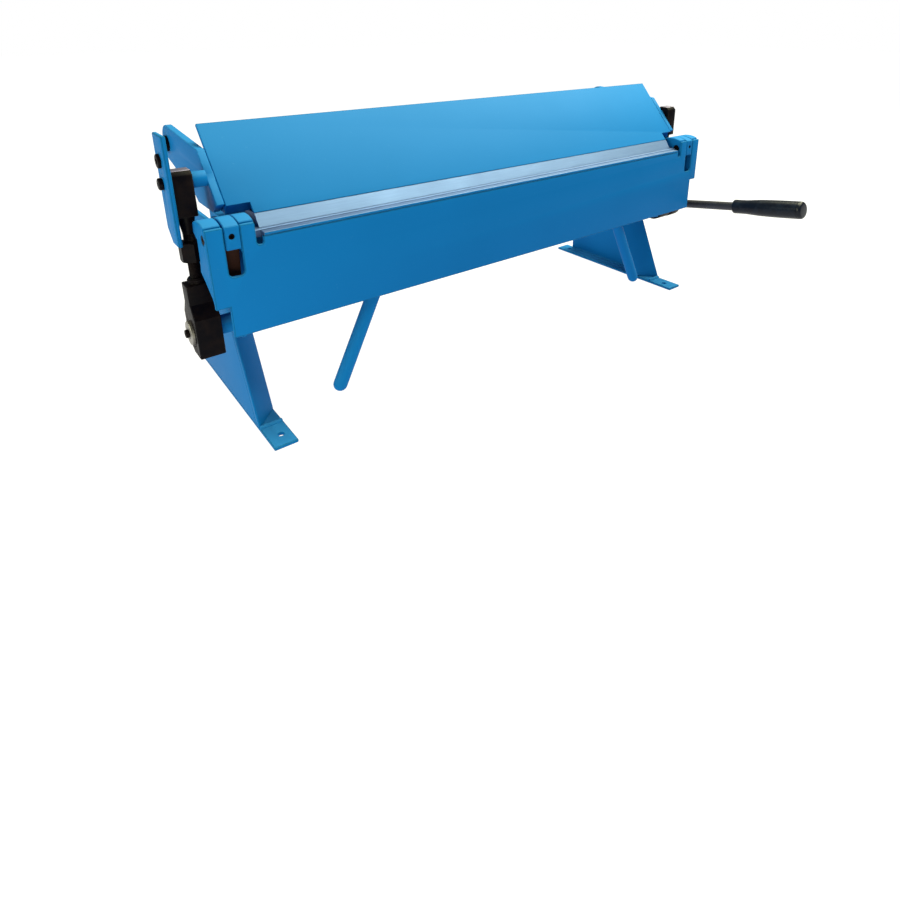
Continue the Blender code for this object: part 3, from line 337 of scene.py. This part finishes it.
def deselect():
    """Leaves nothing selected, in object mode."""
    if bpy.context.object and bpy.context.object.mode != "OBJECT":
        bpy.ops.object.mode_set(mode="OBJECT")
    bpy.ops.object.select_all(action="DESELECT")


def pick(piece):
    """Makes this piece alone the one that operators act on."""
    deselect()
    piece.select_set(True)
    bpy.context.view_layer.objects.active = piece


def middle(node):
    """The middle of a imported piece."""
    low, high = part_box(node)
    return (Vector(low) + Vector(high)) / 2


def body_and_slot(node):
    """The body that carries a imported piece, and the slot of its finish."""
    for part in frame["record"]["subparts"]:
        if part["node"] == node:
            return nodes[node].parent.name.split(":")[1], part["material_slot"]


def mount(piece, like, replace=(), other_slot=None):
    """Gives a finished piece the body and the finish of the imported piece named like, and stands it for some."""
    body, slot = body_and_slot(like)
    slot = other_slot or slot
    piece.data.materials.clear()
    piece.data.materials.append(finishes[slot])
    pick(piece)
    bpy.ops.object.shade_smooth_by_angle(angle=SMOOTH_ANGLE)
    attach(piece, body)
    if replace:
        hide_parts(*replace)
    deselect()
    return piece


def mark(piece, name, faces):
    """Writes 1 on these faces and 0 elsewhere, for the finish to read."""
    layer = piece.data.attributes.new(name, "FLOAT", "CORNER")
    for face in piece.data.polygons:
        for corner in face.loop_indices:
            layer.data[corner].value = 1.0 if face.index in faces else 0.0


def joined_copy(node):
    """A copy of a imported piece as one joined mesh, with its flat faces whole."""
    piece = bpy.data.objects.new(node + "_finished", nodes[node].data.copy())
    bpy.context.collection.objects.link(piece)
    pick(piece)
    bpy.ops.object.mode_set(mode="EDIT")
    bpy.ops.mesh.select_all(action="SELECT")
    bpy.ops.mesh.remove_doubles(threshold=0.01 * MM)
    bpy.ops.mesh.dissolve_limited(angle_limit=math.radians(0.5))
    bpy.ops.object.mode_set(mode="OBJECT")
    return piece


def softened(node, radius):
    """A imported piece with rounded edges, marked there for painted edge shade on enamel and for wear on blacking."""
    piece = joined_copy(node)
    if node.endswith("clamp_arm"):
        fill_pin_seat(piece, node.split("_")[0])
    pick(piece)
    piece.data.materials.clear()
    for _ in range(2):
        piece.data.materials.append(None)
    for face in piece.data.polygons:
        face.material_index = 0
    bpy.ops.object.modifier_add(type="BEVEL")
    bevel = piece.modifiers[-1]
    bevel.width = radius
    bevel.segments = 2
    bevel.limit_method = "ANGLE"
    bevel.angle_limit = CORNER_ANGLE
    bevel.material = 1
    bpy.ops.object.modifier_apply(modifier=bevel.name)
    lowest = COVER_EDGE_SHADE_LOW_Z if node == "clamp_cover" else 0
    # Bevel faces are marked for painted edge shade on enamel and for wear on blacking
    rubbed = {face.index for face in piece.data.polygons if face.material_index == 1 and face.center.z > lowest}
    mark(piece, "rubbed", rubbed)
    for face in piece.data.polygons:
        face.material_index = 0
    return mount(piece, node, [node])


def turned(name, profile, sides=48):
    """A piece turned about +Z: a ring is drawn on along the profile of (height, radius), closed at both ends."""
    deselect()
    height, radius = profile[0]
    bpy.ops.mesh.primitive_circle_add(vertices=sides, radius=radius, location=(0, 0, height), fill_type="NGON")
    piece = bpy.context.object
    piece.name = name
    bpy.ops.object.transform_apply(location=True, rotation=True, scale=True)
    bpy.ops.object.mode_set(mode="EDIT")
    bpy.ops.mesh.select_all(action="SELECT")
    for next_height, next_radius in profile[1:]:
        bpy.ops.mesh.extrude_region_move(TRANSFORM_OT_translate={"value": (0, 0, next_height - height)})
        share = next_radius / radius
        bpy.ops.transform.resize(value=(share, share, 1), center_override=(0, 0, next_height))
        height, radius = next_height, next_radius
    bpy.ops.mesh.select_all(action="SELECT")
    bpy.ops.mesh.normals_make_consistent(inside=False)
    bpy.ops.object.mode_set(mode="OBJECT")
    return piece


def lay(piece, place, direction=(0, 0, 1)):
    """Turns a piece made about +Z so that +Z runs along direction from place, and keeps that in its mesh."""
    pick(piece)
    tilt = Vector(direction).to_track_quat("Z", "Y").to_matrix().to_4x4()
    piece.matrix_world = Matrix.Translation(Vector(place)) @ tilt
    bpy.ops.object.transform_apply(location=True, rotation=True, scale=True)


def copy_of(piece, name):
    """The same piece again, with a mesh of its own."""
    pick(piece)
    bpy.ops.object.duplicate(linked=False)
    made = bpy.context.object
    made.name = name
    return made


def pair(piece):
    """A piece for the left end and its copy for the right, each with its own mesh."""
    name = piece.name
    piece.name = "left_" + name
    return {"left": piece, "right": copy_of(piece, "right_" + name)}


def cut_with(piece, tool, operation):
    """Cuts a piece with a tool, or keeps what they share, and takes the tool away."""
    pick(piece)
    bpy.ops.object.modifier_add(type="BOOLEAN")
    cut = piece.modifiers[-1]
    cut.operation = operation
    cut.solver = "EXACT"
    cut.object = tool
    bpy.ops.object.modifier_apply(modifier=cut.name)
    pick(tool)
    bpy.ops.object.delete()


def hexagon(radius, low, high):
    """A six-sided bar about +Z, to cut with."""
    return turned("hexagon_tool", ((low, radius), (high, radius)), sides=6)


def hex_head(name, radius, depth, bore=0.0):
    """A hexagon nut or head about +Z with turned chamfers on both faces, and a bore where it is a nut."""
    chamfer = radius * 0.14
    piece = turned(
        name,
        ((0, radius - chamfer), (chamfer * 0.55, radius), (depth - chamfer * 0.55, radius), (depth, radius - chamfer)),
        sides=72,
    )
    cut_with(piece, hexagon(radius, -depth, 2 * depth), "INTERSECT")
    if bore:
        cut_with(piece, turned("bore_tool", ((-depth, bore), (2 * depth, bore)), sides=48), "DIFFERENCE")
    return piece


def socket_head(name, radius, depth, key, well):
    """A round screw head about +Z with rounded rim and a hexagon socket that is open at its top."""
    rim = radius * 0.14
    profile = (
        (0, radius), (depth - rim, radius), (depth - 0.35 * rim, radius - 0.3 * rim), (depth, radius - rim)
    )
    piece = turned(name, profile, sides=48)
    cut_with(piece, hexagon(key, depth - well, depth + well), "DIFFERENCE")
    return piece


def fill_pin_seat(arm, side):
    """The link's pin ends inside the arm: its seat is filled flush with the arm's sloping front."""
    front = max(
        (face for face in arm.data.polygons if face.normal.y < -0.5 and face.normal.z > 0.4),
        key=lambda face: face.area,
    )
    low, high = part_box(side + "_clamp_arm")
    pin = middle(side + "_link_pin")
    middle_x = (low[0] + high[0]) / 2
    depth = 11 * MM
    on_axis = Vector((middle_x, pin.y, pin.z))
    to_front = (front.center - on_axis).dot(front.normal)
    bpy.ops.object.select_all(action="DESELECT")
    bpy.ops.mesh.primitive_cube_add(size=1, scale=(high[0] - low[0] - 0.1 * MM, 16 * MM, depth))
    filler = bpy.context.object
    bpy.ops.object.transform_apply(location=False, rotation=False, scale=True)
    tilt = Vector(front.normal).to_track_quat("Z", "X").to_matrix().to_4x4()
    turn = Matrix.Rotation(math.radians(90), 4, "Z")
    place = on_axis + front.normal * (to_front - depth / 2 - 0.02 * MM)
    filler.matrix_world = Matrix.Translation(place) @ tilt @ turn
    bpy.ops.object.transform_apply(location=True, rotation=True, scale=True)
    cut_with(arm, filler, "UNION")


def finish_sheet_and_blocks():
    """Rounds the edges of plates, lugs and blocks."""
    for node in SHEET_NODES:
        piece = softened(node, SHEET_EDGE)
        if node.endswith("fixed_lug"):
            # The fixed lugs are marked for the painted shade in the apron's slots
            mark(piece, "greasy", {face.index for face in piece.data.polygons})
    for node in BLOCK_NODES:
        softened(node, BLOCK_EDGE)


def finish_bending_bar():
    """The bending bar is bare on top, and painted over with the apron on its narrow front."""
    bar = softened("bending_bar", BAR_EDGE)
    bar.data.materials.append(finishes["blue_enamel"])
    for face in bar.data.polygons:
        if face.normal.y < -0.8:
            face.material_index = 1


def finish_link_heads():
    """The link heads' upward faces get pale lilac steel: a painted highlight on their tops."""
    bare = ground_steel("sawn_bare_steel", TOP_HIGHLIGHT_LIGHT, TOP_HIGHLIGHT_DARK)
    # Faces that point up take the pale steel, a painted highlight
    for side in SIDES:
        head = bpy.data.objects[side + "_link_head_finished"]
        head.data.materials.append(bare)
        for face in head.data.polygons:
            if face.normal.z > 0.8:
                face.material_index = 1


def make_grip():
    """Long moulded grip: square mouth, full body, a fine ring before the rounded end."""
    start, end = 0.1985, 0.366
    length, full = end - start, 0.0202
    bore, depth = 0.0104, 0.040
    mouth = ((depth, bore), (0.0012, bore), (0, bore + 0.0012), (0, 0.0156), (0.001, 0.0166), (0.003, 0.0168))
    swell = [(length * s, full * r) for s, r in ((0.1, 0.822), (0.18, 0.83), (0.24, 0.86), (0.3, 0.9))]
    swell += [(length * s, full * r) for s, r in ((0.36, 0.935), (0.42, 0.96), (0.55, 0.985), (0.7, 1))]
    ring = [(length * s, full * r) for s, r in ((0.943, 0.992), (0.946, 0.962), (0.951, 0.962), (0.954, 0.985))]
    corner = 0.006
    end_round = [(length - corner * (1 - math.sin(a)), full * 0.98 - corner * (1 - math.cos(a)))
                 for a in (math.radians(d) for d in (0, 18, 36, 54, 72, 90))]
    grip = turned("grip_moulding", list(mouth) + swell + ring + end_round, sides=64)
    lay(grip, lever_start() + lever_run() * start, lever_run())
    mount(grip, "lever_grip", ["lever_grip"])


def lever_run():
    """Direction in which the clamp lever points."""
    return Vector((0, -math.cos(LEVER_RISE), math.sin(LEVER_RISE)))


def lever_start():
    """Middle of the lever's hub."""
    return middle("lever_hub")


def make_lever_details():
    """The blued rod of the lever, and the collar and lock screw where it enters the hub."""
    collar_place, hub_radius = 0.0345, 0.0328
    collar = turned("lever_collar", ((0, 0.0135), (0.0008, 0.0145), (0.0052, 0.0145), (0.006, 0.0135)), sides=40)
    nodes["lever_rod"].data.materials.clear()
    nodes["lever_rod"].data.materials.append(blued_steel())
    lay(collar, lever_start() + lever_run() * collar_place, lever_run())
    mount(collar, "lever_hub")
    screw = socket_head("lever_lock_screw", 0.0052, 0.004, 0.0026, 0.0025)
    up = Vector((0, math.sin(LEVER_RISE), math.cos(LEVER_RISE)))
    lay(screw, lever_start() + up * hub_radius, up)
    mount(screw, "lever_hub")


def make_links():
    """Threaded link rods with chamfered lock nuts, a neck under each head, and a ring on each block's boss."""
    crest, root, pitch = 0.0088, 0.0078, 0.0022
    nut_bore, neck_drop, ring_drop = 0.0089, 0.0272, 0.0045
    low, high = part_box("left_link_rod")
    length = high[2] - low[2]
    profile = [(0, root)]
    for turn in range(1, int(length / pitch)):
        height = turn * pitch
        profile += [(height - 0.3 * pitch, root), (height, crest), (height + 0.2 * pitch, crest)]
    profile += [(length, root)]
    rods = pair(turned("link_rod_thread", profile, sides=28))
    low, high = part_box("left_link_nut")
    nuts = pair(hex_head("link_nut_hexagon", (high[0] - low[0]) / 2, high[2] - low[2], nut_bore))
    necks = pair(turned("link_neck", ((0, 0.0086), (0.012, 0.0102), (0.026, 0.0124), (0.0275, 0.0124)), sides=40))
    rings = pair(turned("boss_ring", ((0, 0.0128), (0.0007, 0.0135), (0.0023, 0.0135), (0.003, 0.0128)), sides=40))
    for side in SIDES:
        centre = middle(side + "_link_rod")
        for piece, node, height in (
            (rods[side], side + "_link_rod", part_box(side + "_link_rod")[0][2]),
            (nuts[side], side + "_link_nut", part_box(side + "_link_nut")[0][2]),
            (necks[side], side + "_link_head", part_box(side + "_link_head")[0][2] - neck_drop),
            (rings[side], side + "_link_block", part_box(side + "_link_block")[1][2] - ring_drop),
        ):
            lay(piece, (centre.x, centre.y, height))
            mount(piece, node, [node] if piece in (rods[side], nuts[side]) else ())


def make_screws():
    """Socket screws of the cheek, the shaft's end and the fixed lugs, and turned crowns on the pivots' heads."""
    crown_depth, cheek_depth, shaft_depth = 0.003, 0.0042, 0.005
    low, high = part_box("left_set_screw")
    screws = pair(socket_head("set_screw_socket", (high[0] - low[0]) / 2, high[1] - low[1], 0.0026, 0.0035))
    crowns = pair(hex_head("pivot_head_crown", 0.0115, crown_depth))
    for side, sign in SIDES.items():
        node = side + "_set_screw"
        centre = middle(node)
        lay(screws[side], (centre.x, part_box(node)[1][1], centre.z), (0, -1, 0))
        mount(screws[side], node, [node])
        node = side + "_pivot_bolt"
        low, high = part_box(node)
        centre = middle(node)
        end_x = high[0] if sign > 0 else low[0]
        lay(crowns[side], (end_x - sign * crown_depth, centre.y, centre.z), (sign, 0, 0))
        mount(crowns[side], node)
    low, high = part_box("left_cheek_bolt")
    centre = middle("left_cheek_bolt")
    head = socket_head("cheek_screw_head", (high[2] - low[2]) / 2, cheek_depth, 0.0046, 0.0028)
    lay(head, (low[0] + cheek_depth, centre.y, centre.z), (-1, 0, 0))
    mount(head, "left_cheek_bolt", ["left_cheek_bolt"])
    low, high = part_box("left_shaft_screw")
    centre = middle("left_shaft_screw")
    head = socket_head("shaft_screw_head", (high[2] - low[2]) / 2, shaft_depth, 0.0032, 0.003)
    lay(head, (low[0] + shaft_depth, centre.y, centre.z), (-1, 0, 0))
    mount(head, "left_shaft_screw", ["left_shaft_screw"])


def make_shaft_washer():
    """Bright washer at the shaft's left end, chamfered, with a shallow recess in the middle of its outer face."""
    low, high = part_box("left_shaft_washer")
    radius, thickness = (high[2] - low[2]) / 2, high[0] - low[0]
    profile = ((0, radius), (thickness - 0.8 * MM, radius), (thickness, radius - 0.8 * MM),
               (thickness, 9 * MM), (thickness - 0.4 * MM, 8.6 * MM))
    washer = turned("left_shaft_washer_turned", profile, sides=48)
    centre = middle("left_shaft_washer")
    lay(washer, (high[0], centre.y, centre.z), (-1, 0, 0))
    mount(washer, "left_shaft_washer", ["left_shaft_washer"])
    washer.data.materials.clear()
    washer.data.materials.append(ground_steel("bright_turned_washer", WASHER_LIGHT, WASHER_DARK))


def make_pins():
    """Hinge pins with a centre mark in the outer end, and link pins with a round head outside."""
    low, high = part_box("left_hinge_pin")
    length, radius = high[0] - low[0], (high[2] - low[2]) / 2
    profile = ((0, radius - MM), (MM, radius), (length - MM, radius), (length, radius - MM),
               (length, 0.4 * radius), (length - 0.3 * radius, 0.08 * radius))
    hinge_pins = pair(turned("hinge_pin_turned", profile, sides=40))
    for side, sign in SIDES.items():
        node = side + "_hinge_pin"
        low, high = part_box(node)
        centre = middle(node)
        lay(hinge_pins[side], (low[0] if sign > 0 else high[0], centre.y, centre.z), (sign, 0, 0))
        mount(hinge_pins[side], node, [node], other_slot="black_oxide")
        node = side + "_link_pin"
        low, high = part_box(node)
        arm_low, arm_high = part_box(side + "_clamp_arm")
        inner = arm_high[0] + 0.3 * MM if sign > 0 else arm_low[0] - 0.3 * MM
        length = (high[0] - inner) if sign > 0 else (inner - low[0])
        shank, head, thickness = 5.5 * MM, (high[2] - low[2]) / 2, 6 * MM
        neck = length - thickness
        profile = ((0, shank), (neck, shank), (neck, head - 0.4 * MM), (neck + 0.4 * MM, head),
                   (length - 1.6 * MM, head), (length - 0.6 * MM, head - 0.7 * MM), (length, head - 2 * MM),
                   (length, 0.3 * head), (length - 0.2 * head, 0.06 * head))
        pin = turned(node + "_turned", profile, sides=40)
        lay(pin, (inner, middle(node).y, middle(node).z), (sign, 0, 0))
        mount(pin, node, [node])


def bead(name, start, end, radius, like, ripple=0.16):
    """A weld bead laid from start to end: overlapping scales, or smooth where ripple is nought."""
    start, end = Vector(start), Vector(end)
    run = end - start
    steps = max(2, int(run.length / WELD_SCALE))
    profile = [(0, radius * 0.4)]
    for step in range(steps):
        for share, size in ((0.12, 1 - ripple), (0.45, 1 - 0.3 * ripple), (0.8, 1.0), (0.97, 1 - 0.7 * ripple)):
            profile.append((run.length * (step + share) / steps, radius * size))
    profile.append((run.length, radius * 0.4))
    piece = turned(name, profile, sides=10)
    lay(piece, start, run.normalized())
    mount(piece, like)


def ring_bead(name, centre, direction, inner, radius, like):
    """A weld bead round a bar or tube, closed on itself."""
    profile = [(radius * (1 - math.cos(a)), inner + radius * math.sin(a))
               for a in (math.radians(d) for d in (0, 30, 60, 90, 120, 150, 180))]
    piece = turned(name, profile, sides=40)
    lay(piece, Vector(centre) - Vector(direction) * radius, direction)
    mount(piece, like)


def make_welds():
    """Beads at the feet, the bed beam and the rear tie, and the smooth bend where each flange meets its foot."""
    tie_radius, foot_weld_front = 0.0118, 0.034
    for side, sign in SIDES.items():
        plate = side + "_side_plate"
        plate_low, plate_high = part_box(plate)
        inner_x = plate_low[0] if sign > 0 else plate_high[0]
        foot_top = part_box(side + "_foot_plate")[1][2]
        x = inner_x - sign * 0.5 * MM
        rear_y = plate_high[1] - 6 * MM
        bead(side + "_foot_weld", (x, foot_weld_front, foot_top + MM), (x, rear_y, foot_top + MM), WELD_RADIUS, plate)
        toe_low, toe_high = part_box(side + "_leg_flange")
        bead(side + "_foot_bend", (toe_low[0] + MM, toe_low[1] + MM, foot_top - MM),
             (toe_high[0] - MM, toe_low[1] + MM, foot_top - MM), 5 * MM, side + "_foot_plate", ripple=0)
        beam_low, beam_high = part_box("bed_beam")
        behind_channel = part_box("clamp_base")[1][1] + 0.5 * MM
        bead(side + "_bed_weld", (x, behind_channel, beam_low[2] + 4 * MM),
             (x, behind_channel, beam_high[2] - 24 * MM), WELD_RADIUS, plate)
        tie = middle("rear_tie")
        ring_bead(side + "_tie_weld", (inner_x - sign * 0.6 * MM, tie.y, tie.z), (sign, 0, 0), tie_radius, 2.4 * MM,
                  plate)


def dress():
    """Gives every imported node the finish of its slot."""
    for part in frame["record"]["subparts"]:
        node = nodes[part["node"]]
        node.data.materials.clear()
        node.data.materials.append(finishes[part["material_slot"]])


def make_camera():
    """The photograph's view, found by fitting the machine's own edges."""
    bpy.ops.object.camera_add(location=CAMERA_PLACE, rotation=(CAMERA_PITCH, 0, CAMERA_YAW))
    camera = bpy.context.object
    camera.data.lens = CAMERA_LENS
    camera.data.sensor_width = CAMERA_SENSOR
    camera.data.shift_x, camera.data.shift_y = CAMERA_SHIFT
    camera.data.clip_start = 0.01
    bpy.context.scene.camera = camera


def make_lights():
    """A wide soft light overhead, one at the left, and a weak near one that lifts the left end."""
    for place, target, size, power in (OVERHEAD, SIDE, NEAR):
        bpy.ops.object.light_add(type="AREA", location=place)
        lamp = bpy.context.object
        lamp.data.shape = "DISK"
        lamp.data.size = size
        lamp.data.energy = power
        lamp.data.color = LAMP_TINT
        lamp.visible_camera = False
        lamp.rotation_euler = (Vector(target) - Vector(place)).to_track_quat("-Z", "Y").to_euler()


def make_surroundings():
    """White behind the object, and a dim even light from all round."""
    world = bpy.data.worlds.new("studio")
    world.use_nodes = True
    tree = world.node_tree
    back = tree.nodes["Background"]
    back.inputs["Color"].default_value = linear("#FFFFFF")
    ray = add(tree, "ShaderNodeLightPath")
    strength = add(
        tree, "ShaderNodeMapRange", {"To Min": AMBIENT, "To Max": 1.0}, {"Value": ray.outputs["Is Camera Ray"]}
    )
    tree.links.new(strength.outputs["Result"], back.inputs["Strength"])
    bpy.context.scene.world = world


def make_floor():
    """Studio paper that gives light of its own, so that the ground stays white as photographed."""
    material, tree, shader = new_material("lit_studio_paper", Roughness=0.95, Emission_Strength=1.0)
    shader.inputs["Base Color"].default_value = linear(FLOOR_GREY)
    shader.inputs["Emission Color"].default_value = linear("#FFFFFF")
    shader.inputs["Specular IOR Level"].default_value = 0.1
    bpy.ops.mesh.primitive_plane_add(size=FLOOR_SIZE, location=(0, 0, 0))
    floor = bpy.context.object
    floor.name = "studio_floor"
    floor.data.materials.append(material)


deselect()
finishes = {
    "blue_enamel": enamel(),
    "ground_steel": ground_steel("ground_tool_steel", STEEL_LIGHT, STEEL_DARK),
    "black_oxide": black_oxide(),
    "black_plastic": moulded_plastic(),
}
dress()
finish_sheet_and_blocks()
finish_bending_bar()
finish_link_heads()
make_grip()
make_lever_details()
make_links()
make_screws()
make_shaft_washer()
make_pins()
make_welds()
make_floor()
make_lights()
make_surroundings()
make_camera()
bpy.context.scene.view_settings.view_transform = "Standard"
